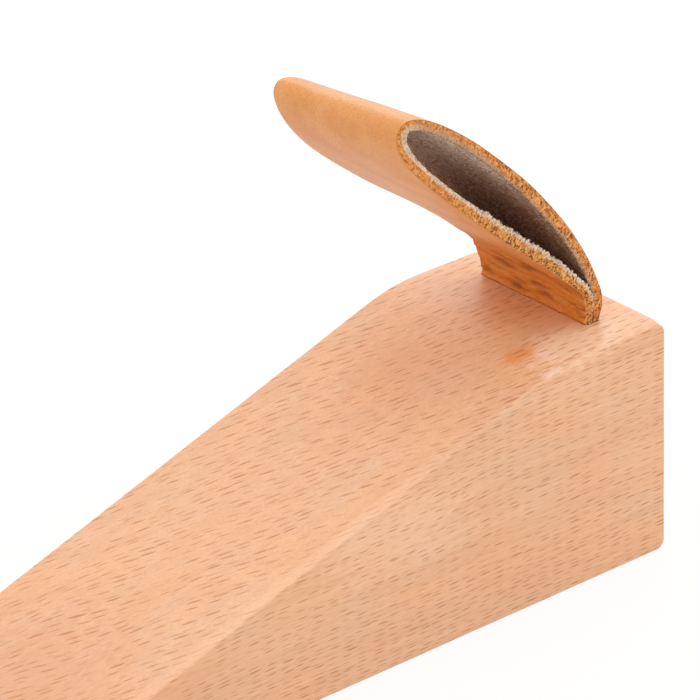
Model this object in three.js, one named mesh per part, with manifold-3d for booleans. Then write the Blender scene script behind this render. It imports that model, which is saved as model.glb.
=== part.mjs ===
// A wooden door wedge with a pull loop of folded leather glued into a slot in its top.
// Millimetres. X runs along the wedge from the thin toe (-X) to the thick heel (+X), Y goes
// across it and Z is up. The origin is on the floor, under the middle of the block.

import * as THREE from 'three';
import { mergeVertices } from 'three/addons/utils/BufferGeometryUtils.js';
import Module from 'manifold-3d';

// Block
const BLOCK_LENGTH = 140;
const BLOCK_WIDTH = 42;
const BLOCK_HEIGHT = 42;
const TOP_FLAT_LENGTH = 23.5; // level stretch of the top, at the heel
const TOE_HEIGHT = 3.5;
const CORNER_RADIUS = 1.6; // rounding of the corners seen from the side
const EDGE_RADIUS = 1.2; // rounding along both side faces

// Leather strap
const LEATHER_THICKNESS = 1.8;
const STRAP_WIDTH = 27.5;
const FOLD_GAP = 0.2; // left between the two layers where they lie together

// Slot and glue
const SLOT_FROM_HEEL = 8.5; // heel face to the middle of the slot
const SLOT_DEPTH = 20;
const SLOT_CORNER_RADIUS = 0.5;
const STRAP_CLEARANCE = 0.2; // leather to the slot's wall, on each side
const GLUE_BED_THICKNESS = 1.2; // under the ends of the strap
const GLUE_CLEARANCE = 0.1; // glue bed to the slot's wall, on each side

// Loop, measured from the middle of the slot's mouth
const TIP_REACH = 41.7; // towards the toe
const TIP_RISE = 46.1;
const TIP_TURN = THREE.MathUtils.degToRad(73); // steepness of the leather as it turns over the tip
const LOWER_NECK_RISE = 3.1; // straight stretch of the lower layer above the slot
const UPPER_NECK_RISE = 2.6;
const LOWER_NECK_PULL = 8.2; // how far each layer holds its upright start
const UPPER_NECK_PULL = 14.2;
const LOWER_TIP_PULL = 8.7; // how far each layer holds its slope at the tip
const UPPER_TIP_PULL = 8.6;
const LOOP_SLANT = 1.2; // the fold is longer at one edge and shorter at the other by this much

// Bend line of the neck
const FOOT_RADIUS = 2.4; // the loop's foot is rounded about the bend line
const FOOT_CLEARANCE = 0.3; // loop's foot to the block and to the strap's ends

// Fineness of the curved faces
const CORNER_STEPS = 4;
const EDGE_STEPS = 3;
const LEG_STEPS = 22;
const FOOT_STEPS = 3;
const SLANT_STEPS = 4;

const heelX = BLOCK_LENGTH / 2;
const slotX = heelX - SLOT_FROM_HEEL;
const slotWidth = 2 * LEATHER_THICKNESS + FOLD_GAP + 2 * STRAP_CLEARANCE;
const slotLength = STRAP_WIDTH + 2 * STRAP_CLEARANCE;
const slotFloorZ = BLOCK_HEIGHT - SLOT_DEPTH;
const layerOffset = (LEATHER_THICKNESS + FOLD_GAP) / 2; // middle of the fold to the middle of a layer
const bendZ = BLOCK_HEIGHT + FOOT_CLEARANCE + FOOT_RADIUS;

const wasm = await Module();
wasm.setup();

function point(x, y) {
  return new THREE.Vector2(x, y);
}

// A closed outline through the corners, given anticlockwise, each rounded to the radius.
function roundedOutline(corners, radius) {
  const outline = new THREE.Shape();
  corners.forEach((corner, i) => {
    const toBefore = corners.at(i - 1).clone().sub(corner).normalize();
    const toAfter = corners[(i + 1) % corners.length].clone().sub(corner).normalize();
    const halfAngle = Math.acos(toBefore.dot(toAfter)) / 2;
    const inward = toBefore.clone().add(toAfter).normalize();
    const centre = corner.clone().addScaledVector(inward, radius / Math.sin(halfAngle));
    const trim = radius / Math.tan(halfAngle);
    const start = corner.clone().addScaledVector(toBefore, trim).sub(centre).angle();
    const end = corner.clone().addScaledVector(toAfter, trim).sub(centre).angle();
    outline.absarc(centre.x, centre.y, radius, start, end, false);
  });
  outline.closePath();
  return outline;
}

// Turns a shape drawn in X and Z and extruded upwards so that it stands across the wedge,
// centred on the middle plane.
function standAcross(geometry) {
  geometry.rotateX(Math.PI / 2);
  geometry.computeBoundingBox();
  const { min, max } = geometry.boundingBox;
  geometry.translate(0, -(min.y + max.y) / 2, 0);
  return geometry;
}

function toSolid(geometry) {
  const bare = geometry.clone();
  bare.deleteAttribute('normal');
  bare.deleteAttribute('uv');
  const merged = mergeVertices(bare);
  return new wasm.Manifold(new wasm.Mesh({
    numProp: 3,
    vertProperties: Float32Array.from(merged.attributes.position.array),
    triVerts: Uint32Array.from(merged.index.array),
  }));
}

function toGeometry(solid) {
  const mesh = solid.getMesh();
  const geometry = new THREE.BufferGeometry();
  geometry.setAttribute('position', new THREE.BufferAttribute(mesh.vertProperties, 3));
  geometry.setIndex(new THREE.BufferAttribute(mesh.triVerts, 1));
  geometry.computeVertexNormals();
  return geometry;
}

// The wedge seen from the side: level at the heel, then one straight slope down to the toe.
function blockGeometry() {
  const profile = roundedOutline([
    point(-heelX, 0),
    point(heelX, 0),
    point(heelX, BLOCK_HEIGHT),
    point(heelX - TOP_FLAT_LENGTH, BLOCK_HEIGHT),
    point(-heelX, TOE_HEIGHT),
  ], CORNER_RADIUS);
  return standAcross(new THREE.ExtrudeGeometry(profile, {
    depth: BLOCK_WIDTH - 2 * EDGE_RADIUS,
    curveSegments: CORNER_STEPS,
    bevelThickness: EDGE_RADIUS,
    bevelSize: EDGE_RADIUS,
    bevelOffset: -EDGE_RADIUS,
    bevelSegments: EDGE_STEPS,
  }));
}

// The blind slot that the strap's two ends are glued into, open at the top.
function slotGeometry() {
  const halfWidth = slotWidth / 2;
  const halfLength = slotLength / 2;
  const plan = roundedOutline([
    point(-halfWidth, -halfLength),
    point(halfWidth, -halfLength),
    point(halfWidth, halfLength),
    point(-halfWidth, halfLength),
  ], SLOT_CORNER_RADIUS);
  const pocket = new THREE.ExtrudeGeometry(plan, {
    depth: 2 * SLOT_DEPTH,
    curveSegments: CORNER_STEPS,
    bevelEnabled: false,
  });
  return pocket.translate(slotX, 0, slotFloorZ);
}

// A flat rectangular piece standing in the slot, its middle at the given x.
function slotPiece(x, bottom, top, thickness, width) {
  const geometry = new THREE.BoxGeometry(thickness, width, top - bottom);
  return geometry.translate(x, 0, (bottom + top) / 2);
}

// The middle line of the leather round the loop, in X and Z, from the foot of the lower layer
// over the tip to the foot of the upper layer.
function strapLine() {
  const lowerX = slotX - layerOffset;
  const upperX = slotX + layerOffset;
  const lowerNeck = point(lowerX, BLOCK_HEIGHT + LOWER_NECK_RISE);
  const upperNeck = point(upperX, BLOCK_HEIGHT + UPPER_NECK_RISE);
  const tip = point(slotX - TIP_REACH, BLOCK_HEIGHT + TIP_RISE);
  const tipSlope = point(Math.cos(TIP_TURN), Math.sin(TIP_TURN));
  const line = new THREE.CurvePath();
  line.add(new THREE.CubicBezierCurve(
    lowerNeck,
    point(lowerX, lowerNeck.y + LOWER_NECK_PULL),
    tip.clone().addScaledVector(tipSlope, -LOWER_TIP_PULL),
    tip,
  ));
  line.add(new THREE.CubicBezierCurve(
    tip,
    tip.clone().addScaledVector(tipSlope, UPPER_TIP_PULL),
    point(upperX, upperNeck.y + UPPER_NECK_PULL),
    upperNeck,
  ));
  return line;
}

// Points on one face of the leather: the middle line moved sideways, positive being outwards.
function strapFace(offset) {
  const face = [];
  strapLine().curves.forEach((leg, i) => {
    for (let step = i; step <= LEG_STEPS; step += 1) {
      const at = step / LEG_STEPS;
      // Steps are closer together near the tip, where the leather turns over.
      const along = i === 0 ? 1 - (1 - at) ** 2 : at ** 2;
      const tangent = leg.getTangent(along);
      face.push(leg.getPoint(along).add(point(-tangent.y, tangent.x).multiplyScalar(offset)));
    }
  });
  return face;
}

// The rounded foot of one layer, from one distance off the bend line to another.
function footArc(fromOffset, toOffset) {
  const arc = [];
  for (let step = 0; step <= FOOT_STEPS; step += 1) {
    const offset = THREE.MathUtils.lerp(fromOffset, toOffset, step / FOOT_STEPS);
    arc.push(point(slotX + offset, bendZ - Math.sqrt(FOOT_RADIUS ** 2 - offset ** 2)));
  }
  return arc;
}

// The free part of the strap: one band of leather, folded, with the finger gap inside it.
function loopGeometry() {
  const innerOffset = FOLD_GAP / 2;
  const outerOffset = innerOffset + LEATHER_THICKNESS;
  const outline = [
    ...footArc(-innerOffset, -outerOffset),
    ...strapFace(LEATHER_THICKNESS / 2),
    ...footArc(outerOffset, innerOffset),
    ...strapFace(-LEATHER_THICKNESS / 2).reverse(),
  ];
  const geometry = standAcross(new THREE.ExtrudeGeometry(new THREE.Shape(outline), {
    depth: STRAP_WIDTH,
    steps: SLANT_STEPS,
    bevelEnabled: false,
  }));
  return slantLoop(geometry);
}

// Slides the leather along the loop, one way at one edge of the strap and the other way at the
// other edge, more and more towards the tip.
function slantLoop(geometry) {
  const position = geometry.attributes.position;
  const along = point(-TIP_REACH, TIP_RISE).normalize();
  for (let i = 0; i < position.count; i += 1) {
    const rise = Math.max(0, position.getZ(i) - bendZ) / TIP_RISE;
    const slide = LOOP_SLANT * rise * position.getY(i) / (STRAP_WIDTH / 2);
    position.setX(i, position.getX(i) + slide * along.x);
    position.setZ(i, position.getZ(i) + slide * along.y);
  }
  geometry.computeVertexNormals();
  return geometry;
}

const beech = new THREE.MeshStandardMaterial({ color: 0xe6b58c, roughness: 0.62, metalness: 0 });
const leather = new THREE.MeshStandardMaterial({ color: 0xc97a3a, roughness: 0.48, metalness: 0 });
const glue = new THREE.MeshStandardMaterial({ color: 0xd9c08a, roughness: 0.35, metalness: 0 });

const doorWedge = new THREE.Group();

function addPiece(name, geometry, material) {
  const piece = new THREE.Mesh(geometry, material);
  piece.name = name;
  doorWedge.add(piece);
}

const glueTopZ = slotFloorZ + GLUE_BED_THICKNESS;
const tail = { bottom: glueTopZ, top: BLOCK_HEIGHT };

addPiece('wedge_block', toGeometry(toSolid(blockGeometry()).subtract(toSolid(slotGeometry()))), beech);
addPiece('glue_bed', slotPiece(
  slotX,
  slotFloorZ,
  glueTopZ,
  slotWidth - 2 * GLUE_CLEARANCE,
  slotLength - 2 * (SLOT_CORNER_RADIUS + GLUE_CLEARANCE),
), glue);
addPiece('strap_end_lower', slotPiece(
  slotX - layerOffset,
  tail.bottom,
  tail.top,
  LEATHER_THICKNESS,
  STRAP_WIDTH,
), leather);
addPiece('strap_end_upper', slotPiece(
  slotX + layerOffset,
  tail.bottom,
  tail.top,
  LEATHER_THICKNESS,
  STRAP_WIDTH,
), leather);
addPiece('strap_loop', loopGeometry(), leather);

export default doorWedge;
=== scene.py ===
# A wooden door wedge with a folded leather pull loop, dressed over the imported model.
# Lengths are written in millimetres and turned into metres with MM. X runs from the thin toe
# (-X) to the thick heel (+X), Y goes across and Z is up. The photograph's near side is -Y.

import math

import bpy
import numpy as np
from mathutils import Matrix, Vector, noise


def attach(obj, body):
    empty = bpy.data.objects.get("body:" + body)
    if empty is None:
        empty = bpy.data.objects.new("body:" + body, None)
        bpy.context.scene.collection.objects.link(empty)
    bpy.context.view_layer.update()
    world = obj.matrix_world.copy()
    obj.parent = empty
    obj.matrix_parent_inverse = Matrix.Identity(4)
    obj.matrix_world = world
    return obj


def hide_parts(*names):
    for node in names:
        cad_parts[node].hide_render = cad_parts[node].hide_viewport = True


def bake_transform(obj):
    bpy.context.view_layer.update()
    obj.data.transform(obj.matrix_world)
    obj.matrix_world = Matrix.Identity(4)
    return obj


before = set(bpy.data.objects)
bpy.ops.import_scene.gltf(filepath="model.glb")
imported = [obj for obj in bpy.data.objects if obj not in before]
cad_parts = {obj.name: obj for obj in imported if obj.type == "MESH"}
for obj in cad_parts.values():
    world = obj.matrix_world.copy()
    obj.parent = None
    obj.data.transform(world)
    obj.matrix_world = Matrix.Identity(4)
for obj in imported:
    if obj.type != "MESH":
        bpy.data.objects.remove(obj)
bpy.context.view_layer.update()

MM = 0.001
IMAGE_SIZE = 700  # pixels, each way

# Block, as in the CAD source
BLOCK_LENGTH = 140
BLOCK_WIDTH = 42
BLOCK_HEIGHT = 42
TOP_FLAT_LENGTH = 23.5
TOE_HEIGHT = 3.5
SLOT_FROM_HEEL = 8.5
SLOT_DEPTH = 20

# Block, only seen here
EDGE_RADIUS = 0.45
EDGE_WEAR = 0.08  # how much the eased edges vary
HEEL_TOP_RADIUS = 0.6
HEEL_FOOT_RADIUS = 0.9
TOE_RADIUS = 1.2
BEND_RADIUS = 36  # softened ridge between the level stretch and the slope
CORNER_WEAR = 0.9  # how much rounder the heel's corners and the bend are at the side faces
CORNER_WEAR_REACH = 1.6  # how far in from the side faces that goes
MOUTH_EASE = 0.12  # small chamfer round the slot's mouth
SLOT_CORNER = 0.5  # radius in the slot's upright corners
SLOT_PLAY = 0.12  # room that the pressed leather's thickness leaves in the slot
SLOT_END_PLAY = 0.2  # and its width
FACE_INSET = 0.3  # width of the flat rim that keeps each side face's shading flat

# How finely the block is divided: round its corners, and along the underside, heel, level
# stretch, slope and toe
CORNER_STEPS = 12
SIDE_STEPS = (70, 20, 12, 60, 1)
EDGE_STEPS = 5  # round each eased edge
RINGS_NEAR_FACE = np.array([0.7, 1.1, 1.6, 2.2, 3.0, 4.0, 5.5])  # distances from a side face
FIRST_INNER_RING = 7
INNER_RINGS = 15
SHARP_ANGLE = math.radians(32)  # steeper edges are shaded as sharp

# Strap
LEATHER_THICKNESS = 1.8
STRAP_WIDTH = 27.5
OUTER_ROUND = 0.28  # radius of the cut edges' rims on the smooth side
INNER_ROUND = 0.15  # and on the raw side
FOLD_GAP = 0.2
GLUE_TOP = 23.2
PINCH = 0.42  # how much thinner the slot presses each layer
FRONT_TAPER = 1.1  # how much further in the front edge lies where it enters the slot
TAPER_REACH = 7  # how far over the slot's mouth that goes
FREE_REACH = (2.0, 8.0)  # over the slot's mouth: where the leather starts to be free, and is
CREASE_DEPTH = 0.55
CREASE_REACH = (8, 13)  # over the slot's mouth: where the creases start to fade, and are gone
CREASE_STEP = 2.6  # from one soft fold to the next
FRONT_SWELL = 0.28  # how far the front cut edge's outer rim stands proud
TORN_DEPTH = 0.36  # raggedness of the inner rims of the cut edges
UPPER_TORN_SHARE = 0.4  # of that on the upper layer
CUT_EDGE_SHARE = 0.97  # how far out from the middle, 0 to 1, a point counts as cut edge
SWELL = 0.16  # how far each layer swells again over the pinch
MOUTH_LIP = 0.5  # how far the pressed leather bulges over the slot's mouth

# The strap's profile in side view: how far before the slot and how high over its mouth the fold
# lies, which way the leather runs there, and how strongly each leg is drawn out of its ends.
# Each pair is a value at the strap's middle line and what is added to it at the rear edge. As
# much is taken away at the front edge, so the loop is slightly twisted.
TIP_REACH = (42.1, 1.3)
TIP_RISE = (45.8, -0.3)
TIP_TURN = (math.radians(91), math.radians(9.5))
LOWER_NECK_RISE = 3.2
UPPER_NECK_RISE = 0.6
LOWER_NECK_PULL = (8.4, 1.4)
UPPER_NECK_PULL = (16.8, -1.0)
LOWER_TIP_PULL = (11.3, 3.2)
UPPER_TIP_PULL = (10.2, 0.35)

# How finely the strap is divided
LINE_PLACES = 9  # across it, where its profile is worked out
CURVE_POINTS = 1500
TAIL_STEPS = 16
NECK_STEPS = 16
CREASED_LENGTH = 9  # of the lower leg, over its neck, in fine steps
CREASED_STEPS = 72
LOWER_LEG_STEPS = 190
UPPER_LEG_STEPS = 230
FACE_STEPS = 54
CUT_EDGE_STEPS = 9

# Which material each part of the strap's surface has
GRAIN, CUT_EDGE, SUEDE = 0, 1, 2

# Lengths that follow from the others
HEEL_X = BLOCK_LENGTH / 2
SLOT_X = HEEL_X - SLOT_FROM_HEEL
SLOT_WIDTH = 2 * (LEATHER_THICKNESS - PINCH) + FOLD_GAP + SLOT_PLAY
LAYER_OFFSET = (LEATHER_THICKNESS + FOLD_GAP) / 2
HALF_STRAP = STRAP_WIDTH / 2
HALF_LEATHER = LEATHER_THICKNESS / 2
TAIL_LENGTH = BLOCK_HEIGHT - GLUE_TOP  # of each glued end
STRAP_LENGTH = 166  # both glued ends and the loop, along the middle
HALF_LENGTH = STRAP_LENGTH / 2


# Noise and mesh helpers

def wobble(x, y, z, size, seed=0):
    """Noise from -1 to 1 with bumps of about the given size. Each seed gives another one."""
    return noise.noise(Vector((x / size + 17.3 * seed, y / size - 9.1 * seed, z / size + 5.7)))


def smooth_step(value, low, high):
    """0 up to low, 1 from high on, and a smooth rise between them."""
    share = np.clip((value - low) / (high - low), 0, 1)
    return share * share * (3 - 2 * share)


def link_object(name, data):
    """A new object in the scene."""
    made = bpy.data.objects.new(name, data)
    bpy.context.collection.objects.link(made)
    return made


def make_object(name, points, faces, materials=(), face_materials=None):
    """A mesh object from points in millimetres."""
    mesh = bpy.data.meshes.new(name)
    mesh.from_pydata([tuple(p) for p in np.asarray(points) * MM], [], faces)
    for material in materials:
        mesh.materials.append(material)
    if face_materials is not None:
        mesh.polygons.foreach_set("material_index", face_materials)
    mesh.shade_smooth()
    return link_object(name, mesh)


def store_points(made, name, kind, values):
    """Keeps one value or vector for each of the mesh's points, for its material to read."""
    attribute = made.data.attributes.new(name, kind, "POINT")
    field = "vector" if kind == "FLOAT_VECTOR" else "value"
    attribute.data.foreach_set(field, np.asarray(values, np.float32).ravel())


# Materials

def rgb(red, green, blue):
    """A colour given as it looks on screen, 0 to 255, as the shader needs it."""
    def linear(level):
        level /= 255
        return level / 12.92 if level <= 0.04045 else ((level + 0.055) / 1.055) ** 2.4
    return (linear(red), linear(green), linear(blue), 1)


class Surface:
    """A material and short calls that add nodes to it."""

    def __init__(self, name):
        self.material = bpy.data.materials.new(name)
        self.material.use_nodes = True
        self.tree = self.material.node_tree
        self.shader = self.tree.nodes["Principled BSDF"]

    def put(self, socket, value):
        if isinstance(value, bpy.types.NodeSocket):
            self.tree.links.new(value, socket)
        else:
            socket.default_value = value

    def add(self, kind, inputs, **settings):
        node = self.tree.nodes.new("ShaderNode" + kind)
        for name, value in settings.items():
            setattr(node, name, value)
        for key, value in inputs.items():
            self.put(node.inputs[key], value)
        return node

    def finish(self, **values):
        """Sets the shader's own sockets; an underscore stands for a space."""
        for name, value in values.items():
            self.put(self.shader.inputs[name.replace("_", " ")], value)
        return self.material

    def place(self):
        """The point in the row frame."""
        return self.add("TexCoord", {}).outputs["Object"]

    def stored(self, name):
        return self.add("Attribute", {}, attribute_name=name)

    def math(self, operation, a, b=0.0):
        return self.add("Math", {0: a, 1: b}, operation=operation).outputs[0]

    def plus(self, a, b):
        return self.math("ADD", a, b)

    def minus(self, a, b):
        return self.math("SUBTRACT", a, b)

    def times(self, a, b):
        return self.math("MULTIPLY", a, b)

    def vector_math(self, operation, a, b):
        return self.add("VectorMath", {0: a, 1: b}, operation=operation).outputs[0]

    def split(self, vector):
        return self.add("SeparateXYZ", {0: vector}).outputs

    def stretch(self, vector, sizes):
        """The place measured in pieces of the given sizes, in millimetres."""
        return self.vector_math("DIVIDE", vector, [size * MM for size in sizes])

    def noise(self, vector, sizes, detail=2.0, roughness=0.5, output="Fac"):
        """Noise round 0.5 with bumps of the given sizes, in millimetres."""
        scaled = self.stretch(vector, sizes)
        inputs = {"Vector": scaled, "Scale": 1.0, "Detail": detail, "Roughness": roughness}
        return self.add("TexNoise", inputs).outputs[output]

    def cells(self, vector, feature, randomness=1.0):
        """Random cells, one to each unit of the vector."""
        inputs = {"Vector": vector, "Scale": 1.0, "Randomness": randomness}
        return self.add("TexVoronoi", inputs, feature=feature)

    def ragged_cells(self, vector, sizes, warp_sizes, warp_detail, feature):
        """Cells of the given sizes in millimetres, with borders that a noise bends."""
        warp = self.noise(vector, warp_sizes, warp_detail, output="Color")
        bent = self.vector_math("ADD", self.stretch(vector, sizes), warp)
        return self.cells(bent, feature)

    def turned(self, vector, angle, axis):
        """The vector turned about an axis through the origin."""
        inputs = {"Vector": vector, "Angle": angle}
        return self.add("VectorRotate", inputs, rotation_type=axis).outputs[0]

    def fade(self, value, low, high, to_low=0.0, to_high=1.0):
        """Goes smoothly from to_low, where value is low, to to_high, where it is high."""
        inputs = {0: value, 1: low, 2: high, 3: to_low, 4: to_high}
        return self.add("MapRange", inputs, interpolation_type="SMOOTHSTEP").outputs[0]

    def mix(self, share, a, b):
        """Colours a and b mixed, all b where share is 1."""
        return self.add("Mix", {0: share, 6: a, 7: b}, data_type="RGBA").outputs[2]

    def coats(self, colour, *coats):
        """A colour with coats laid over it, each given by its share, 0 to 1, and its colour."""
        for share, coat in coats:
            colour = self.mix(share, colour, coat)
        return colour

    def bump(self, height, depth, under=None):
        """Relief of the given depth in millimetres, on top of another."""
        inputs = {"Height": height, "Distance": depth * MM, "Strength": 1.0}
        if under is not None:
            inputs["Normal"] = under
        return self.add("Bump", inputs).outputs[0]


def strap_place(surface):
    """The point on the strap before it was bent: along it, across it and through its thickness."""
    return surface.stored("strap_place").outputs["Vector"]


def strap_from_tip(surface, along):
    """How far along the strap a point lies from the fold, in metres."""
    return surface.math("ABSOLUTE", surface.minus(along, HALF_LENGTH * MM))


RAY_TILT = math.radians(-60)  # turns Y and Z to across and along the wood's rays
FLECK_SCATTER = 0.62  # 0 sets the flecks in rows, 1 anywhere
FLECK_SIZES = (0.65, 1.15)  # the smallest and the largest, as a share of the plain size
FLECK_STRENGTHS = (0.55, 1.0)
PALE_STRIP_ACROSS = (-17.5, -20)  # where the slope's pale front strip starts and is palest
PALE_STRIP_ALONG = (34, 14)


def beech_flecks(surface, grain, spacing, half_sizes):
    """How strongly a fleck shows, 0 to 1. Each cell holds one lens, a cut through a ray of the
    wood: long along X, thin across the ray and deep along it. Sizes in millimetres."""
    scaled = surface.stretch(grain, spacing)
    cells = surface.cells(scaled, "F1", FLECK_SCATTER)
    offset = surface.vector_math("SUBTRACT", scaled, cells.outputs["Position"])
    ratio = [cell / half for cell, half in zip(spacing, half_sizes)]
    along, thin, deep = surface.split(surface.vector_math("MULTIPLY", offset, ratio))
    lens = surface.plus(surface.times(along, along), surface.times(deep, deep))
    lens = surface.plus(lens, surface.math("ABSOLUTE", thin))
    chance = surface.split(cells.outputs["Color"])
    size = surface.fade(chance[0], 0.0, 1.0, *FLECK_SIZES)
    strength = surface.fade(chance[1], 0.0, 1.0, *FLECK_STRENGTHS)
    return surface.times(surface.fade(surface.math("DIVIDE", lens, size), 1.0, 0.3), strength)


# Places where light, shade or wear is painted on the wood: middle, half sizes, how strongly, and
# its colour there
WOOD_PATCHES = (
    ((58, 4, 42), (8, 16, 3), 0.16, (232, 158, 92)),  # painted warm light bounced from the leather round the slot
    ((34, 0, 38), (15, 18, 7), 0.34, (220, 154, 112)),  # painted warm shade of the loop on the slope below the level stretch
    ((-52, 0, 10), (30, 26, 14), 0.5, (218, 160, 126)),  # painted shade, darker and pinker towards the toe
    ((11, -21, 24), (18, 3, 9), 0.4, (248, 208, 178)),  # painted light, paler in the middle of the front face
    ((53, -16, 42), (12, 7, 3), 0.55, (252, 222, 196)),  # painted sheen, paler at the front of the level stretch
    ((45.4, -12.4, 41.8), (4.8, 2.9, 3.0), 0.72, (226, 141, 74)),  # painted warm light bounced from the leather, an orange patch
    ((48.3, -16.0, 42), (1.3, 4.2, 0.9), 0.42, (252, 222, 214)),  # worn end of the ridge, with a painted highlight
    ((45.5, -20.4, 41.3), (3.6, 1.3, 1.2), 0.42, (252, 222, 214)),  # worn edge beside it, with a painted highlight
)


def patch(surface, place, centre, half_sizes):
    """1 within a patch with ragged, soft borders, 0 outside it. Sizes in millimetres."""
    offset = surface.vector_math("SUBTRACT", place, [part * MM for part in centre])
    reach = surface.add(
        "VectorMath", {0: surface.stretch(offset, half_sizes)}, operation="LENGTH")
    ragged = surface.times(surface.noise(place, (2.2, 0.8, 0.8), 3.0), 1.6)
    return surface.fade(surface.plus(reach.outputs["Value"], ragged), 1.9, 1.1)


def beech_ground(surface, place, turned, fibres):
    """The wood between the flecks: warm, softly blotched and streaked, with its patches of painted
    light and shade, two of them also worn.
    """
    streaks = surface.noise(turned, (60, 1.6, 3.0))
    blotches = surface.noise(place, (16, 9, 9))
    warmth = surface.noise(place, (30, 14, 14), 1.0)
    ground = surface.coats(
        rgb(237, 188, 149),
        (surface.fade(blotches, 0.35, 0.65), rgb(233, 190, 157)),
        (surface.fade(warmth, 0.5, 0.75, 0.0, 0.5), rgb(237, 176, 132)),
        (surface.fade(streaks, 0.35, 0.7, 0.0, 0.5), rgb(223, 174, 137)),
        (surface.fade(fibres, 0.35, 0.75, 0.0, 0.36), rgb(205, 152, 114)),
    )
    for centre, half_sizes, strength, tone in WOOD_PATCHES:
        share = surface.times(patch(surface, place, centre, half_sizes), strength)
        ground = surface.mix(share, ground, rgb(*tone))
    return ground


def pale_slope_edge_strip(surface, place, facing):
    """1 along the slope's front edge, where the wood is paler and has fewer flecks, and 0
    elsewhere.
    """
    x, y, _ = surface.split(place)
    beside_edge = surface.fade(y, *[end * MM for end in PALE_STRIP_ACROSS])
    facing_up = surface.fade(facing[2], 0.3, 0.9)
    below_bend = surface.fade(x, *[end * MM for end in PALE_STRIP_ALONG])
    return surface.times(beside_edge, surface.times(facing_up, below_bend))


def beech():
    """Planed and sanded beech: fine brown flecks along the grain on a warm ground."""
    surface = Surface("beech_wood")
    place = surface.place()
    facing = surface.split(surface.add("NewGeometry", {}).outputs["Normal"])
    wander = surface.noise(place, (45, 14, 14), 1.0)
    shift = surface.add("CombineXYZ", {2: surface.times(wander, 3.0 * MM)}).outputs[0]
    turned = surface.turned(surface.vector_math("ADD", place, shift), RAY_TILT, "X_AXIS")
    fibres = surface.noise(turned, (7, 0.2, 0.2), 3.0)
    large_flecks = beech_flecks(surface, turned, (3.2, 0.74, 16), (1.55, 0.165, 12))
    small_flecks = beech_flecks(surface, turned, (2.5, 0.6, 10), (1.1, 0.13, 7))

    pale_strip = pale_slope_edge_strip(surface, place, facing)
    shown_flecks = surface.times(large_flecks, surface.fade(pale_strip, 0.0, 1.0, 0.7, 0.35))
    end_grain = surface.fade(surface.math("ABSOLUTE", facing[0]), 0.6, 0.95, 0.0, 0.45)
    colour = surface.coats(
        beech_ground(surface, place, turned, fibres),
        (surface.times(pale_strip, 0.3), rgb(246, 206, 176)),
        (surface.times(small_flecks, 0.22), rgb(196, 132, 90)),
        (shown_flecks, rgb(180, 110, 62)),
        (end_grain, rgb(205, 148, 108)),
    )

    relief = surface.bump(fibres, 0.02)
    relief = surface.bump(surface.times(large_flecks, -1.0), 0.03, relief)
    return surface.finish(
        Base_Color=colour,
        Roughness=surface.fade(fibres, 0.3, 0.8, 0.42, 0.55),
        Normal=relief,
    )


def leather_grain():
    """The smooth, dyed outer side, finely pebbled, with creases at the neck, their shade painted
    in.
    """
    surface = Surface("leather_grain_side")
    stored = strap_place(surface)
    crease = surface.stored("strap_crease").outputs["Fac"]
    along, across, _ = surface.split(stored)
    pebbles = surface.ragged_cells(
        stored, (0.62, 0.5, 0.6), (0.8, 0.8, 0.8), 1.0, "DISTANCE_TO_EDGE").outputs["Distance"]
    fine = surface.noise(stored, (0.35, 0.3, 0.3), 3.0)
    clouds = surface.noise(stored, (6, 6, 6), 3.0)
    # deeper orange near the lower layer's neck: partly the leather's own tone, partly painted
    # shade
    neck = surface.fade(along, 40 * MM, 26 * MM)
    specks = surface.times(surface.fade(fine, 0.5, 0.38), neck)
    from_middle = surface.math("ABSOLUTE", across)
    border = surface.fade(from_middle, (HALF_STRAP - 0.4) * MM, (HALF_STRAP - 0.05) * MM, 0.0, 0.2)

    colour = surface.coats(
        rgb(232, 168, 104),
        (surface.fade(clouds, 0.3, 0.7), rgb(222, 151, 84)),
        (surface.times(neck, 0.85), rgb(219, 130, 30)),
        (surface.fade(fine, 0.45, 0.7, 0.0, 0.3), rgb(196, 118, 60)),
        (surface.times(specks, 0.4), rgb(164, 88, 26)),
        (surface.fade(pebbles, 0.12, 0.02, 0.0, 0.15), rgb(176, 100, 48)),
        # painted shade in the creases
        (surface.fade(crease, 0.15, 0.85, 0.0, 0.75), rgb(146, 70, 10)),
        (border, rgb(150, 92, 50)),
    )

    relief = surface.bump(surface.fade(pebbles, 0.0, 0.3), 0.03)
    relief = surface.bump(fine, 0.06, relief)
    sheen = surface.fade(fine, 0.3, 0.7, 0.34, 0.48)
    dull = surface.plus(surface.times(neck, 0.8), crease)
    return surface.finish(
        Base_Color=colour,
        Roughness=surface.plus(sheen, surface.times(dull, 0.2)),
        Normal=relief,
    )


def edge_pits(surface, stored):
    """The cut edge's pores: 1 in the middle of a pore, 0 between them."""
    cells = surface.ragged_cells(stored, (0.44, 0.5, 0.36), (0.5, 0.5, 0.5), 2.0, "F1")
    chance = surface.split(cells.outputs["Color"])
    pit_edge = surface.fade(chance[0], 0.0, 1.0, 0.22, 0.56)
    return surface.fade(surface.math("DIVIDE", cells.outputs["Distance"], pit_edge), 1.0, 0.5)


def torn_band(surface, depth, from_tip, upper, ragged):
    """1 on the pale, torn inner band of the loop's cut edge, and 0 on the rest of that edge.

    The band is wider at the tip and on the upper layer, and more ragged towards the neck."""
    loop_end = HALF_LENGTH - TAIL_LENGTH
    free = surface.fade(from_tip, (loop_end - 1) * MM, (loop_end - 5) * MM)
    raggedness = surface.fade(from_tip, 8 * MM, 24 * MM, 0.7 * MM, 2.0 * MM)
    torn = surface.times(surface.minus(ragged, 0.5), raggedness)
    wider = surface.plus(
        surface.fade(from_tip, 8 * MM, 1 * MM, 0.0, 0.4 * MM),
        surface.times(upper, surface.fade(from_tip, 30 * MM, 14 * MM, 0.0, 0.34 * MM)),
    )
    inner = surface.minus(surface.plus(depth, torn), wider)
    return surface.times(surface.fade(inner, -0.24 * MM, -0.66 * MM, 0.0, 0.95), free)


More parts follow.
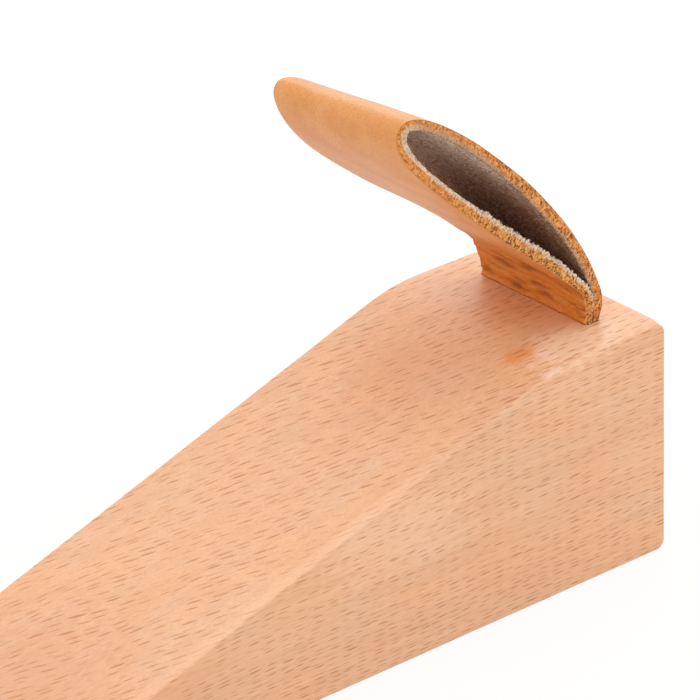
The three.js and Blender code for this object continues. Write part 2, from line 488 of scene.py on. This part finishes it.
def leather_edge():
    """The cut edge: orange and pitted, with a rim outside and torn fibres inside. On the upper
    layer the rim and fibres are painted darker, as shade.
    """
    surface = Surface("leather_cut_edge")
    stored = strap_place(surface)
    along, _, depth = surface.split(stored)
    from_tip = strap_from_tip(surface, along)
    upper = surface.fade(along, (HALF_LENGTH - 8) * MM, (HALF_LENGTH + 8) * MM)
    grains = surface.noise(stored, (0.4, 0.4, 0.45), 3.0, 0.6)
    ragged = surface.noise(stored, (0.5, 0.6, 0.6), 4.0, 0.7)
    tint = surface.noise(stored, (3.0, 3.0, 1.0))
    strands = surface.noise(stored, (0.22, 0.5, 1.3))
    pits = edge_pits(surface, stored)

    yellowed = surface.fade(along, (HALF_LENGTH - 12) * MM, (HALF_LENGTH - 45) * MM, 0.0, 0.5)
    dark_grains = surface.times(
        surface.fade(grains, 0.48, 0.36), surface.fade(from_tip, 8 * MM, 30 * MM, 0.4, 0.8))
    open_pores = surface.times(pits, surface.fade(from_tip, 10 * MM, 34 * MM, 0.3, 0.92))
    # painted shade between the parted strands
    parted = surface.times(
        surface.fade(strands, 0.5, 0.36), surface.fade(from_tip, 14 * MM, 28 * MM, 0.3, 0.8))
    # The upper layer's copies of these colours are darker: painted shade, as that edge faces down.
    pale = surface.mix(upper, rgb(238, 216, 194), rgb(198, 160, 126))
    strand_shade = surface.mix(upper, rgb(150, 112, 82), rgb(132, 92, 62))
    rim = surface.mix(upper, rgb(226, 156, 90), rgb(134, 78, 40))
    colour = surface.coats(
        rgb(228, 148, 70),
        (surface.fade(tint, 0.3, 0.7), rgb(212, 128, 52)),
        (yellowed, rgb(206, 156, 76)),
        (surface.fade(grains, 0.52, 0.64, 0.0, 0.65), rgb(246, 192, 122)),
        (dark_grains, rgb(146, 80, 28)),
        (open_pores, rgb(90, 44, 16)),
        (torn_band(surface, depth, from_tip, upper, ragged), surface.mix(parted, pale, strand_shade)),
        (surface.fade(depth, 0.7 * MM, 0.87 * MM, 0.0, 0.6), rim),
    )

    relief = surface.bump(surface.times(pits, -1.0), 0.16)
    relief = surface.bump(grains, 0.14, relief)
    relief = surface.bump(strands, 0.14, relief)
    return surface.finish(
        Base_Color=colour,
        Roughness=surface.fade(ragged, 0.3, 0.7, 0.65, 0.85),
        Normal=relief,
    )


def leather_suede():
    """The raw inner side: grey-brown nap with short brushed strokes, painted near-white at the tip
    as light and darker towards the neck as shade.
    """
    surface = Surface("leather_suede_side")
    stored = strap_place(surface)
    from_tip = strap_from_tip(surface, surface.split(stored)[0])
    brushed = [
        surface.noise(
            surface.turned(stored, math.radians(turn), "Z_AXIS"), (1.3, 0.42, 0.5), 3.0, 0.6)
        for turn in (35, -50)
    ]
    swirl = surface.fade(surface.noise(stored, (3, 3, 3), 1.0), 0.45, 0.55)
    strokes = surface.add("Mix", {0: swirl, 2: brushed[0], 3: brushed[1]}).outputs[0]
    clouds = surface.noise(stored, (4, 3, 4), 4.0)
    calm = surface.fade(from_tip, 12 * MM, 42 * MM, 0.8, 0.3)
    light_strokes = surface.times(surface.fade(strokes, 0.5, 0.6), calm)
    dark_strokes = surface.times(surface.fade(strokes, 0.48, 0.34), calm)
    painted_shade_to_neck = surface.fade(from_tip, 5 * MM, 44 * MM, 0.0, 0.9)

    colour = surface.coats(
        # near-white, lighter than the grey-brown suede: painted light inside the loop
        rgb(255, 248, 238),
        (surface.fade(clouds, 0.35, 0.65), rgb(244, 222, 204)),
        (painted_shade_to_neck, rgb(160, 104, 70)),
        (light_strokes, rgb(255, 246, 234)),
        (dark_strokes, rgb(112, 78, 58)),
    )
    return surface.finish(
        Base_Color=colour,
        Roughness=surface.fade(strokes, 0.3, 0.7, 0.85, 0.97),
        Normal=surface.bump(strokes, 0.3),
        Specular_IOR_Level=0.15,
    )


def leather_nap(name, light, dark, strand_shade):
    """Loose torn fibres of two tones, with painted shade between their strands."""
    surface = Surface(name)
    place = surface.place()
    tint = surface.noise(place, (0.8, 0.8, 0.8))
    strands = surface.noise(place, (0.2, 0.2, 0.5))
    colour = surface.mix(surface.fade(tint, 0.3, 0.7), light, dark)
    colour = surface.mix(surface.fade(strands, 0.5, 0.35, 0.0, 0.6), colour, strand_shade)
    return surface.finish(
        Base_Color=colour,
        Roughness=surface.fade(tint, 0.3, 0.7, 0.75, 0.9),
        Normal=surface.bump(strands, 0.12),
    )


def dried_glue():
    """Wood glue, dried to a dull yellow with a skin."""
    surface = Surface("dried_wood_glue")
    ripple = surface.noise(surface.place(), (2.5, 2.5, 2.5), 3.0)
    colour = surface.mix(surface.fade(ripple, 0.3, 0.7), rgb(222, 198, 146), rgb(205, 174, 112))
    return surface.finish(
        Base_Color=colour,
        Roughness=surface.fade(ripple, 0.3, 0.7, 0.28, 0.45),
        Normal=surface.bump(ripple, 0.15),
    )


# Block

def block_outline(wear):
    """The wedge from the side: points and outward directions, going round anticlockwise.

    wear is added to the radii of the heel's two corners and the bend's."""
    corners = [
        ((-HEEL_X, 0), TOE_RADIUS),
        ((HEEL_X, 0), HEEL_FOOT_RADIUS + wear),
        ((HEEL_X, BLOCK_HEIGHT), HEEL_TOP_RADIUS + wear),
        ((HEEL_X - TOP_FLAT_LENGTH, BLOCK_HEIGHT), BEND_RADIUS + wear),
        ((-HEEL_X, TOE_HEIGHT), TOE_RADIUS),
    ]
    points, outward = [], []
    arcs = [rounding(corners, i) for i in range(len(corners))]
    for i, (arc, directions) in enumerate(arcs):
        points.extend(arc)
        outward.extend(directions)
        begin, end = arc[-1], arcs[(i + 1) % len(arcs)][0][0]
        for step in range(1, SIDE_STEPS[i]):
            points.append(begin + (end - begin) * step / SIDE_STEPS[i])
            outward.append(directions[-1])
    return np.array(points), np.array(outward)


def rounding(corners, i):
    """The arc that rounds one outer corner of an outline, and its outward directions."""
    corner, radius = np.array(corners[i][0], float), corners[i][1]
    before = np.array(corners[i - 1][0], float) - corner
    after = np.array(corners[(i + 1) % len(corners)][0], float) - corner
    before /= np.linalg.norm(before)
    after /= np.linalg.norm(after)
    half = math.acos(before @ after) / 2
    inward = (before + after) / np.linalg.norm(before + after)
    centre = corner + inward * radius / math.sin(half)
    first = math.atan2(before[0], -before[1])
    angles = np.linspace(first, first + math.pi - 2 * half, CORNER_STEPS + 1)
    directions = np.column_stack([np.cos(angles), np.sin(angles)])
    return centre + radius * directions, directions


def edge_rings(side):
    """Rings of points round the eased edge of one side face, from that face to the block's full
    outline, with their outward directions."""
    half_width = BLOCK_WIDTH / 2
    points, outward = block_outline(CORNER_WEAR)
    radius = np.array([
        EDGE_RADIUS + EDGE_WEAR * wobble(x, side * half_width, z, 11)
        for x, z in points
    ])
    rings = []
    for angle in np.linspace(math.pi / 2, 0, EDGE_STEPS + 1):
        inset = radius * (1 - math.cos(angle))
        y = side * (half_width - radius * (1 - math.sin(angle)))
        rings.append((np.insert(points - outward * inset[:, None], 1, y, axis=1), outward))
    return rings


def middle_ring(y):
    """The block's outline at one place across it, its corners rounder near the side faces."""
    depth = BLOCK_WIDTH / 2 - abs(y) - EDGE_RADIUS
    points, outward = block_outline(CORNER_WEAR * math.exp(-(depth / CORNER_WEAR_REACH) ** 2))
    return np.insert(points, 1, y, axis=1), outward


def block_rings():
    """All the block's rings from the front face to the rear face."""
    half_width = BLOCK_WIDTH / 2
    inner = np.linspace(FIRST_INNER_RING - half_width, half_width - FIRST_INNER_RING, INNER_RINGS)
    near_rear = (half_width - RINGS_NEAR_FACE)[::-1]
    places = np.concatenate([RINGS_NEAR_FACE - half_width, inner, near_rear])
    return edge_rings(-1) + [middle_ring(y) for y in places] + edge_rings(1)[::-1]


def inner_ring(ring, outward):
    """A ring a little inside the flat face, which keeps that face's shading flat."""
    moved = ring.copy()
    moved[:, [0, 2]] -= outward * FACE_INSET
    return moved


def tube_faces(ring_count, ring_size):
    """Faces that join closed rings of points, one ring after another, and close both ends."""
    faces = []
    for j in range(ring_count - 1):
        for k in range(ring_size):
            after = (k + 1) % ring_size
            faces.append((
                j * ring_size + k,
                (j + 1) * ring_size + k,
                (j + 1) * ring_size + after,
                j * ring_size + after,
            ))
    faces.append(tuple(range(ring_size)))
    faces.append(tuple(reversed(range((ring_count - 1) * ring_size, ring_count * ring_size))))
    return faces


def slot_cutter():
    """The space of the slot, widening a little at its mouth and ending over it."""
    corner_steps = 4
    over_mouth = 2
    half_length = (STRAP_WIDTH - FRONT_TAPER + SLOT_END_PLAY) / 2
    levels = [
        (BLOCK_HEIGHT - SLOT_DEPTH, 0.0),
        (BLOCK_HEIGHT - MOUTH_EASE, 0.0),
        (BLOCK_HEIGHT, MOUTH_EASE),
        (BLOCK_HEIGHT + over_mouth, MOUTH_EASE),
    ]
    points = []
    for z, wider in levels:
        radius = SLOT_CORNER + wider
        for quarter, (sign_x, sign_y) in enumerate(((1, 1), (-1, 1), (-1, -1), (1, -1))):
            for step in range(corner_steps + 1):
                angle = math.pi / 2 * (quarter + step / corner_steps)
                x = sign_x * (SLOT_WIDTH / 2 - SLOT_CORNER) + radius * math.cos(angle)
                y = sign_y * (half_length - SLOT_CORNER) + radius * math.sin(angle)
                points.append((SLOT_X + x, FRONT_TAPER / 2 + y, z))
    faces = tube_faces(len(levels), 4 * (corner_steps + 1))
    return make_object("slot_cutter", points, [tuple(reversed(face)) for face in faces])


def cut_slot(block):
    """Takes the slot out of the block's mesh for good."""
    cutter = slot_cutter()
    cut = block.modifiers.new("slot", "BOOLEAN")
    cut.operation = "DIFFERENCE"
    cut.solver = "EXACT"
    cut.object = cutter
    ready = block.evaluated_get(bpy.context.evaluated_depsgraph_get())
    mesh = bpy.data.meshes.new_from_object(ready)
    block.modifiers.clear()
    block.data = mesh
    bpy.data.objects.remove(cutter)


def make_block(material):
    """The wedge with its eased and worn edges and its slot."""
    rings = block_rings()
    first, last = inner_ring(*rings[0]), inner_ring(*rings[-1])
    rings = [first, *[ring for ring, _ in rings], last]
    faces = tube_faces(len(rings), len(first))
    block = make_object("wedge_block_wood", np.concatenate(rings), faces, [material])
    cut_slot(block)
    block.data.set_sharp_from_angle(angle=SHARP_ANGLE)
    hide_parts("wedge_block")
    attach(block, "wedge")


# Strap

def cubic(a, b, c, d, shares):
    """Points of the curve from a to d that b and c draw out."""
    t = shares[:, None]
    return (1 - t) ** 3 * a + 3 * (1 - t) ** 2 * t * b + 3 * (1 - t) * t ** 2 * c + t ** 3 * d


def distances(line):
    """How far along a line each of its points lies."""
    return np.concatenate([[0], np.cumsum(np.linalg.norm(np.diff(line, axis=0), axis=1))])


def evenly(line, count):
    """The line divided into count even steps."""
    along = distances(line)
    wanted = np.linspace(0, along[-1], count + 1)
    return np.column_stack([np.interp(wanted, along, line[:, i]) for i in range(2)])


def at_place(pair, across):
    """A profile value at one place across the strap, -1 at its front edge and 1 at its rear."""
    return pair[0] + pair[1] * across


def strap_line(across):
    """The middle of the leather in X and Z at one place across it, from the lower end over the
    fold to the upper end."""
    lower_x = SLOT_X - LAYER_OFFSET
    upper_x = SLOT_X + LAYER_OFFSET
    mouth = BLOCK_HEIGHT
    turn = at_place(TIP_TURN, across)
    tip = np.array([
        SLOT_X - at_place(TIP_REACH, across),
        mouth + at_place(TIP_RISE, across),
    ])
    slope = np.array([math.cos(turn), math.sin(turn)])
    lower_neck = np.array([lower_x, mouth + LOWER_NECK_RISE])
    upper_neck = np.array([upper_x, mouth + UPPER_NECK_RISE])
    up = np.array([0, 1])
    shares = np.linspace(0, 1, CURVE_POINTS)
    lower_leg = cubic(lower_neck, lower_neck + up * at_place(LOWER_NECK_PULL, across),
                      tip - slope * at_place(LOWER_TIP_PULL, across), tip, shares)
    upper_leg = cubic(tip, tip + slope * at_place(UPPER_TIP_PULL, across),
                      upper_neck + up * at_place(UPPER_NECK_PULL, across), upper_neck, shares)
    split = int(np.searchsorted(distances(lower_leg), CREASED_LENGTH)) - 1
    parts = [
        evenly(np.array([[lower_x, GLUE_TOP], [lower_x, mouth]]), TAIL_STEPS),
        evenly(np.array([[lower_x, mouth], lower_neck]), NECK_STEPS),
        evenly(lower_leg[:split + 1], CREASED_STEPS),
        evenly(lower_leg[split:], LOWER_LEG_STEPS),
        evenly(upper_leg, UPPER_LEG_STEPS),
        evenly(np.array([upper_neck, [upper_x, mouth]]), NECK_STEPS),
        evenly(np.array([[upper_x, mouth], [upper_x, GLUE_TOP]]), TAIL_STEPS),
    ]
    return np.concatenate([parts[0][:1], *[part[1:] for part in parts]])


def quarter_arc(centre, radius, first, steps):
    """Points of a quarter circle without its last one. first is where it starts, in degrees."""
    angles = np.radians(first) + np.linspace(0, math.pi / 2, steps + 1)[:-1]
    return [(centre[0] + radius * math.cos(a), centre[1] + radius * math.sin(a)) for a in angles]


def straight(start, end, steps):
    """Points of a straight line without its last one."""
    return [tuple(a + (b - a) * i / steps for a, b in zip(start, end)) for i in range(steps)]


def strap_section():
    """Points round the strap's cross-section (across, depth), and the material after each.

    Depth is positive on the smooth outer side."""
    front_in = (-HALF_STRAP + INNER_ROUND, -HALF_LEATHER + INNER_ROUND)
    rear_in = (HALF_STRAP - INNER_ROUND, -HALF_LEATHER + INNER_ROUND)
    rear_out = (HALF_STRAP - OUTER_ROUND, HALF_LEATHER - OUTER_ROUND)
    front_out = (-HALF_STRAP + OUTER_ROUND, HALF_LEATHER - OUTER_ROUND)
    suede = straight((front_in[0], -HALF_LEATHER), (rear_in[0], -HALF_LEATHER), FACE_STEPS)
    rear = quarter_arc(rear_in, INNER_ROUND, -90, 2)
    rear += straight((HALF_STRAP, rear_in[1]), (HALF_STRAP, rear_out[1]), CUT_EDGE_STEPS)
    rear += quarter_arc(rear_out, OUTER_ROUND, 0, 4)
    grain = straight((rear_out[0], HALF_LEATHER), (front_out[0], HALF_LEATHER), FACE_STEPS)
    front = quarter_arc(front_out, OUTER_ROUND, 90, 4)
    front += straight((-HALF_STRAP, front_out[1]), (-HALF_STRAP, front_in[1]), CUT_EDGE_STEPS)
    front += quarter_arc(front_in, INNER_ROUND, 180, 2)
    kinds = [SUEDE] * len(suede) + [CUT_EDGE] * len(rear)
    kinds += [GRAIN] * len(grain) + [CUT_EDGE] * len(front)
    return np.array(suede + rear + grain + front), kinds


class StrapSheet:
    """The strap's middle surface: lines along it, at several places across it."""

    def __init__(self):
        self.places = np.linspace(-1, 1, LINE_PLACES)
        self.lines = np.array([strap_line(place) for place in self.places])
        steps = np.gradient(self.lines, axis=1)
        steps /= np.linalg.norm(steps, axis=2, keepdims=True)
        self.outward = np.stack([-steps[..., 1], steps[..., 0]], axis=2)
        self.along = distances(self.lines[LINE_PLACES // 2])
        self.length = self.along[-1]

    def point(self, k, share):
        """The point after k steps along and at one place across, and the outward direction
        there, in X and Z."""
        return [
            np.array([np.interp(share, self.places, values[:, k, i]) for i in range(2)])
            for values in (self.lines, self.outward)
        ]

    def root(self, s, share, depth):
        """Where a fibre starts, nearest to s along the strap, and the directions inwards, away
        from the smooth side, and ahead along the strap."""
        k = int(round(np.interp(s, self.along, np.arange(len(self.along)))))
        at, normal = self.point(k, share)
        start = np.array([
            at[0] + normal[0] * depth, share * HALF_STRAP, at[1] + normal[1] * depth])
        inward = np.array([-normal[0], 0, -normal[1]])
        ahead = np.array([normal[1], 0, -normal[0]])
        return start, inward, ahead


def wrinkle(from_mouth, across):
    """Depth, 0 to 1, of the creases that the sharp bend presses into the lower layer's neck:
    soft folds that run across it, and a few sharp valleys that wind between them."""
    reach = smooth_step(from_mouth, 0.2, 1.2) * (1 - smooth_step(from_mouth, *CREASE_REACH))
    winding = from_mouth / CREASE_STEP + 1.2 * wobble(across, from_mouth, 0, 9, 3)
    winding += 0.5 * wobble(across, from_mouth, 0, 2.6, 5)
    soft_fold = 0.25 + 0.25 * math.cos(2 * math.pi * winding)
    soft_fold += 0.25 + 1.3 * wobble(across, 2.4 * from_mouth, 0, 6, 7)
    crossing = wobble(across, 4 * from_mouth, 0, 9, 4)
    crossing += 0.25 * wobble(across, from_mouth, 0, 1, 8)
    valley = max(0.0, 1 - abs(crossing) / 0.16)
    strength = 0.4 + 2.0 * wobble(across, from_mouth, 0, 5, 6)
    crease = 0.65 * max(0.0, soft_fold) + 0.7 * valley * max(0.0, min(1.0, strength))
    return float(reach * min(1.0, crease))


def pressed(from_mouth, depth):
    """How the slot thins the leather, and how it swells again just above."""
    pinch = PINCH * (1 - smooth_step(from_mouth, 0.1, 2.6))
    swell = SWELL * smooth_step(from_mouth, 1.0, 3.0) * (1 - smooth_step(from_mouth, 4.0, 8.0))
    return (swell - pinch) * (depth + HALF_LEATHER) / LEATHER_THICKNESS


def front_swell(from_mouth, across):
    """The low ridge along the front edge of the smooth side, halfway up each layer."""
    from_edge = HALF_STRAP + across
    middle = smooth_step(from_mouth, 13, 25) * (1 - smooth_step(from_mouth, 32, 46))
    return FRONT_SWELL * middle * math.exp(-(from_edge / 1.8) ** 2)


def mouth_lip(from_mouth, across):
    """The uneven bulge of the lower layer over the slot's mouth."""
    lip = math.exp(-((from_mouth - 0.45) / 0.35) ** 2)
    return MOUTH_LIP * lip * max(0.0, 0.5 + 2.0 * wobble(across, 0, 0, 3.5, 9))


def torn_edge(s, from_mouth, is_lower, side, depth, free):
    """How far a cut edge is torn: past its straight line, and away from its inner rim."""
    past = 0.12 * wobble(s, side, 0, 6, 6)
    if is_lower and side > 0:
        neck = 1 - smooth_step(from_mouth, 6, 11)
        past += 0.6 * neck * wobble(s, 0, 0, 2.3, 9)
    torn = smooth_step(-depth, 0.0, HALF_LEATHER) * free * TORN_DEPTH
    if not is_lower:
        torn *= UPPER_TORN_SHARE
    past += torn * (0.15 + 0.8 * wobble(s, depth, side, 0.9, 7))
    tuft = 0.45 + 1.2 * wobble(s, 3 * side, 0, 0.8, 8) + 0.5 * wobble(s, side, 0, 3.0, 8)
    return past, torn * (1.3 - smooth_step(from_mouth, 20, 50)) * max(0.0, tuft)


def moved_leather(s, length, across, depth):
    """How far the worked leather stands off its plain form at one point, outwards and sideways,
    and how deep a crease is there.

    s is the place along the strap and length the strap's length."""
    is_lower = s < length / 2
    from_mouth = s - TAIL_LENGTH if is_lower else length - TAIL_LENGTH - s
    free = smooth_step(from_mouth, *FREE_REACH)
    crease = wrinkle(from_mouth, across) if is_lower and depth > 0 else 0.0
    rough = 0.03 * wobble(s, across, depth, 0.6, 1)

    out = pressed(from_mouth, depth)
    out += 0.14 * wobble(s, across, 0, 11, 2) * free - CREASE_DEPTH * crease
    if depth > 0 and across < 0:
        out += front_swell(from_mouth, across)
    if depth < HALF_LEATHER / 2:
        out += rough
    if depth > 0 and is_lower:
        out += mouth_lip(from_mouth, across)

    share = across / HALF_STRAP
    sideways = FRONT_TAPER * (1 - share) / 2 * (1 - smooth_step(from_mouth, 0, TAPER_REACH))
    if abs(share) > CUT_EDGE_SHARE:
        side = math.copysign(1, share)
        past, lost = torn_edge(s, from_mouth, is_lower, side, depth, free)
        out -= lost
        sideways += side * (rough + past)
    return out, sideways, crease


def make_strap(sheet, grain, edge, suede):
    """The whole strip of leather, the loop and both ends, as one closed skin."""
    section, kinds = strap_section()
    points, stored, creases = [], [], []
    for k, s in enumerate(sheet.along):
        for across, depth in section:
            at, normal = sheet.point(k, across / HALF_STRAP)
            out, sideways, crease = moved_leather(s, sheet.length, across, depth)
            x, z = at + normal * (depth + out)
            points.append((x, across + sideways, z))
            stored.append((s * MM, across * MM, depth * MM))
            creases.append(crease)
    faces = tube_faces(len(sheet.along), len(section))
    face_kinds = kinds * (len(sheet.along) - 1) + [CUT_EDGE, CUT_EDGE]
    strap = make_object("leather_strap", points, faces, [grain, edge, suede], face_kinds)
    store_points(strap, "strap_place", "FLOAT_VECTOR", stored)
    store_points(strap, "strap_crease", "FLOAT", creases)
    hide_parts("strap_loop", "strap_end_lower", "strap_end_upper")
    bend_strap(strap)


def bend_strap(piece):
    """Bakes a piece of the strap's placement into its mesh."""
    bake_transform(piece)


# Which material a fibre has; the upper layer's tufts take the darker DULL one, as painted shade
PALE, DULL = 0, 1

# The form of a fibre: its corners, then each ring's place along it and thickness, as shares
FIBRE = (3, ((0.0, 1.0), (0.5, 0.8)))
TUFT = (7, ((0.0, 0.9), (0.3, 1.05), (0.6, 1.0), (0.85, 0.72)))

TUFT_HEIGHT = 0.3
TUFT_RADIUS = 0.23
TUFT_SPACING = 0.26
UPPER_TUFT_SHARE = 0.6  # of the height, on the upper layer
TUFTS_FROM_MOUTH = 5
LOOSE_REACH = (22, 30)  # from the tip: where the tufts start to be loose and long, and are
HAIR_COUNT = 2600
HAIRS_FROM_MOUTH = 6
NAP_SEED = 7


class Fibres:
    """Collects tapered fibres and tufts, each a closed spike that bends."""

    def __init__(self):
        self.points = []
        self.faces = []
        self.kinds = []

    def add(self, form, kind, root, direction, bend, length, radius):
        """One fibre. bend is how far its tip is drawn aside, as a share of its length."""
        corners, rings = form
        direction = direction / np.linalg.norm(direction)
        side = np.cross(direction, (0.3, 0.5, 0.8))
        side /= np.linalg.norm(side)
        other = np.cross(direction, side)
        first = len(self.points)
        for share, size in rings:
            centre = root + direction * length * share + bend * length * share ** 2
            for corner in range(corners):
                angle = 2 * math.pi * corner / corners
                spread = side * math.cos(angle) + other * math.sin(angle)
                self.points.append(centre + radius * size * spread)
        tip = len(self.points)
        self.points.append(root + direction * length + bend * length)
        for corner in range(corners):
            after = (corner + 1) % corners
            for ring in range(len(rings) - 1):
                low = first + ring * corners
                high = low + corners
                self.faces.append((low + corner, low + after, high + after, high + corner))
            last = tip - corners
            self.faces.append((last + corner, last + after, tip))
        self.faces.append(tuple(reversed(range(first, first + corners))))
        self.kinds += [kind] * (len(self.faces) - len(self.kinds))


def add_tuft(fibres, sheet, side, s, loose, chance):
    """A tuft on the inner rim of one cut edge, with fibres round it, more where it is loose."""
    place = s + chance.normal(0, 0.08)
    lean = loose * chance.normal(0, 0.25)
    height = TUFT_HEIGHT + loose * chance.uniform(0.0, 0.4)
    is_upper = s > sheet.length / 2
    # the upper layer's tufts take the darker material: painted shade
    kind = DULL if is_upper else PALE
    if is_upper:
        height *= UPPER_TUFT_SHARE
    for k in range(1 + int(round(1 + 3 * loose))):
        share = side * (1 - abs(chance.normal(0.012, 0.006)))
        depth = -HALF_LEATHER + chance.uniform(0.0, 0.2)
        root, inward, ahead = sheet.root(place + chance.normal(0, 0.09), share, depth)
        direction = (
            inward * chance.uniform(0.9, 1.1)
            + np.array([0, side, 0]) * chance.uniform(-0.1, 0.4)
            + ahead * (lean + chance.normal(0, 0.15))
        )
        bend = chance.normal(0, 0.15, 3)
        if k == 0:
            radius = TUFT_RADIUS + loose * chance.uniform(-0.05, 0.06)
            fibres.add(TUFT, kind, root, direction, bend * loose, height * 0.9, radius)
        else:
            length = height * chance.uniform(0.8, 1.1)
            radius = chance.uniform(0.04, 0.08)
            fibres.add(FIBRE, kind, root, direction, bend, length, radius)


def add_tufts(fibres, sheet, side, chance):
    """The tufts along one cut edge of the loop, closer together near the tip."""
    s = TAIL_LENGTH + TUFTS_FROM_MOUTH
    while s < sheet.length - TAIL_LENGTH - TUFTS_FROM_MOUTH:
        loose = smooth_step(abs(s - sheet.length / 2), *LOOSE_REACH)
        add_tuft(fibres, sheet, side, s, loose, chance)
        s += TUFT_SPACING + 0.28 * loose


def add_hairs(fibres, sheet, chance):
    """Short hairs that lie on the suede, more of them near its edges."""
    first = TAIL_LENGTH + HAIRS_FROM_MOUTH
    for _ in range(HAIR_COUNT):
        s = chance.uniform(first, sheet.length - first)
        share = math.copysign(1 - chance.uniform(0.02, 0.8) ** 1.5, chance.uniform(-1, 1))
        root, inward, ahead = sheet.root(s, share, -HALF_LEATHER + 0.03)
        direction = (
            inward * chance.uniform(0.15, 0.5)
            + ahead * chance.normal(0, 0.8)
            + np.array([0, 1, 0]) * chance.normal(0, 0.8)
        )
        bend = chance.normal(0, 0.3, 3)
        length = chance.uniform(0.4, 1.0)
        radius = chance.uniform(0.02, 0.045)
        fibres.add(FIBRE, DULL, root, direction, bend, length, radius)


def make_nap(sheet, pale_look, dull_look):
    """Torn fibres: tufts along the inner rims of the cut edges, and short hairs on the suede."""
    chance = np.random.default_rng(NAP_SEED)
    fibres = Fibres()
    for side in (-1, 1):
        add_tufts(fibres, sheet, side, chance)
    add_hairs(fibres, sheet, chance)
    nap = make_object(
        "leather_strap_nap", fibres.points, fibres.faces, [pale_look, dull_look], fibres.kinds)
    bend_strap(nap)


# Glue

def make_glue(material):
    """The CAD's own bed of glue, which isn't seen, with its material."""
    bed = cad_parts["glue_bed"]
    bed.data.materials.clear()
    bed.data.materials.append(material)


# Studio

# The camera, fitted to the block's edges in the photograph
CAMERA_TARGET = (20.233, 0, 46.329)
CAMERA_DISTANCE = 800
CAMERA_TURN = math.radians(38.83)
CAMERA_FALL = math.radians(26.71)
CAMERA_ROLL = math.radians(-1.741)
FOCAL_PIXELS = 4959.5
SENSOR_WIDTH = 36

# Lamps: name, place and size in metres, watts and colour
LAMPS = (
    ("key_lamp", (0.3, 0.05, 1.05), 1.1, 1.4, (0.94, 0.98, 1.0)),
    ("rear_lamp", (0.67, 0.84, 0.54), 0.8, 2.1, (0.91, 0.96, 1.0)),
    ("front_lamp", (0.05, -1.0, 0.45), 0.9, 0.7, (1.0, 1.0, 1.0)),
)
LAMP_TARGET = (0.02, 0, 0.03)

WORLD_LEVEL = 1.05
WORLD_COLOUR = (1.0, 0.92, 0.84, 1)
WHITE = (1, 1, 1, 1)
FLOOR_REACH = 3000
FLOOR_COLOUR = (0.78, 0.78, 0.78, 1)
FLOOR_GLOW = 1.04
FLOOR_GLOW_SHARE = 0.85  # the rest keeps the object's shadow


def make_camera():
    """The camera at the photograph's viewing angle, slightly rolled as the photograph is."""
    data = bpy.data.cameras.new("photo_view")
    data.sensor_width = SENSOR_WIDTH
    data.lens = FOCAL_PIXELS / IMAGE_SIZE * SENSOR_WIDTH
    data.clip_start = 0.05
    data.clip_end = 20
    camera = link_object("photo_view", data)
    turn = (
        Matrix.Rotation(-CAMERA_TURN, 3, "Z")
        @ Matrix.Rotation(math.pi / 2 - CAMERA_FALL, 3, "X")
        @ Matrix.Rotation(CAMERA_ROLL, 3, "Z")
    )
    place = (Vector(CAMERA_TARGET) + turn.col[2] * CAMERA_DISTANCE) * MM
    camera.matrix_world = Matrix.Translation(place) @ turn.to_4x4()
    bpy.context.scene.camera = camera


def make_lamp(name, place, size, watts, colour):
    """A large soft lamp that looks at the object."""
    data = bpy.data.lights.new(name, "AREA")
    data.color = colour
    data.shape = "DISK"
    data.size = size
    data.energy = watts
    lamp = link_object(name, data)
    lamp.location = place
    looking = Vector(LAMP_TARGET) - lamp.location
    lamp.rotation_euler = looking.to_track_quat("-Z", "Y").to_euler()


def make_world():
    """Even, slightly warm light all round, plain white where it is seen."""
    world = bpy.data.worlds.new("studio")
    world.use_nodes = True
    tree = world.node_tree
    light = tree.nodes["Background"]
    white = tree.nodes.new("ShaderNodeBackground")
    for node, colour, level in ((light, WORLD_COLOUR, WORLD_LEVEL), (white, WHITE, 1.0)):
        node.inputs["Color"].default_value = colour
        node.inputs["Strength"].default_value = level
    rays = tree.nodes.new("ShaderNodeLightPath")
    choice = tree.nodes.new("ShaderNodeMixShader")
    sources = (rays.outputs["Is Camera Ray"], light.outputs[0], white.outputs[0])
    for source, socket in zip(sources, choice.inputs):
        tree.links.new(source, socket)
    tree.links.new(choice.outputs[0], tree.nodes["World Output"].inputs[0])
    bpy.context.scene.world = world


def make_floor():
    """A plain white floor that keeps the object's soft shadow."""
    corners = np.array([(-1, -1, 0), (1, -1, 0), (1, 1, 0), (-1, 1, 0)]) * FLOOR_REACH
    surface = Surface("studio_floor")
    surface.finish(Base_Color=FLOOR_COLOUR, Roughness=0.9)
    glow = surface.add("Emission", {"Color": WHITE, "Strength": FLOOR_GLOW})
    rays = surface.add("LightPath", {}).outputs
    seen = surface.plus(rays["Is Camera Ray"], rays["Is Transmission Ray"])
    seen = surface.plus(seen, rays["Is Glossy Ray"])
    share = surface.times(seen, FLOOR_GLOW_SHARE)
    mixed = surface.add(
        "MixShader", {0: share, 1: surface.shader.outputs[0], 2: glow.outputs[0]})
    surface.put(surface.tree.nodes["Material Output"].inputs[0], mixed.outputs[0])
    floor = make_object("studio_floor", corners, [(0, 1, 2, 3)], [surface.material])


# The scene

make_camera()
make_world()
for lamp in LAMPS:
    make_lamp(*lamp)
make_floor()
make_block(beech())
strap_sheet = StrapSheet()
make_strap(strap_sheet, leather_grain(), leather_edge(), leather_suede())
make_nap(
    strap_sheet,
    leather_nap("torn_fibres", rgb(236, 222, 204), rgb(200, 174, 148), rgb(160, 130, 104)),
    leather_nap("suede_hairs_and_shaded_tufts", rgb(200, 170, 142), rgb(140, 106, 80), rgb(96, 68, 48)),
)
make_glue(dried_glue())

bpy.context.scene.view_settings.view_transform = "Standard"
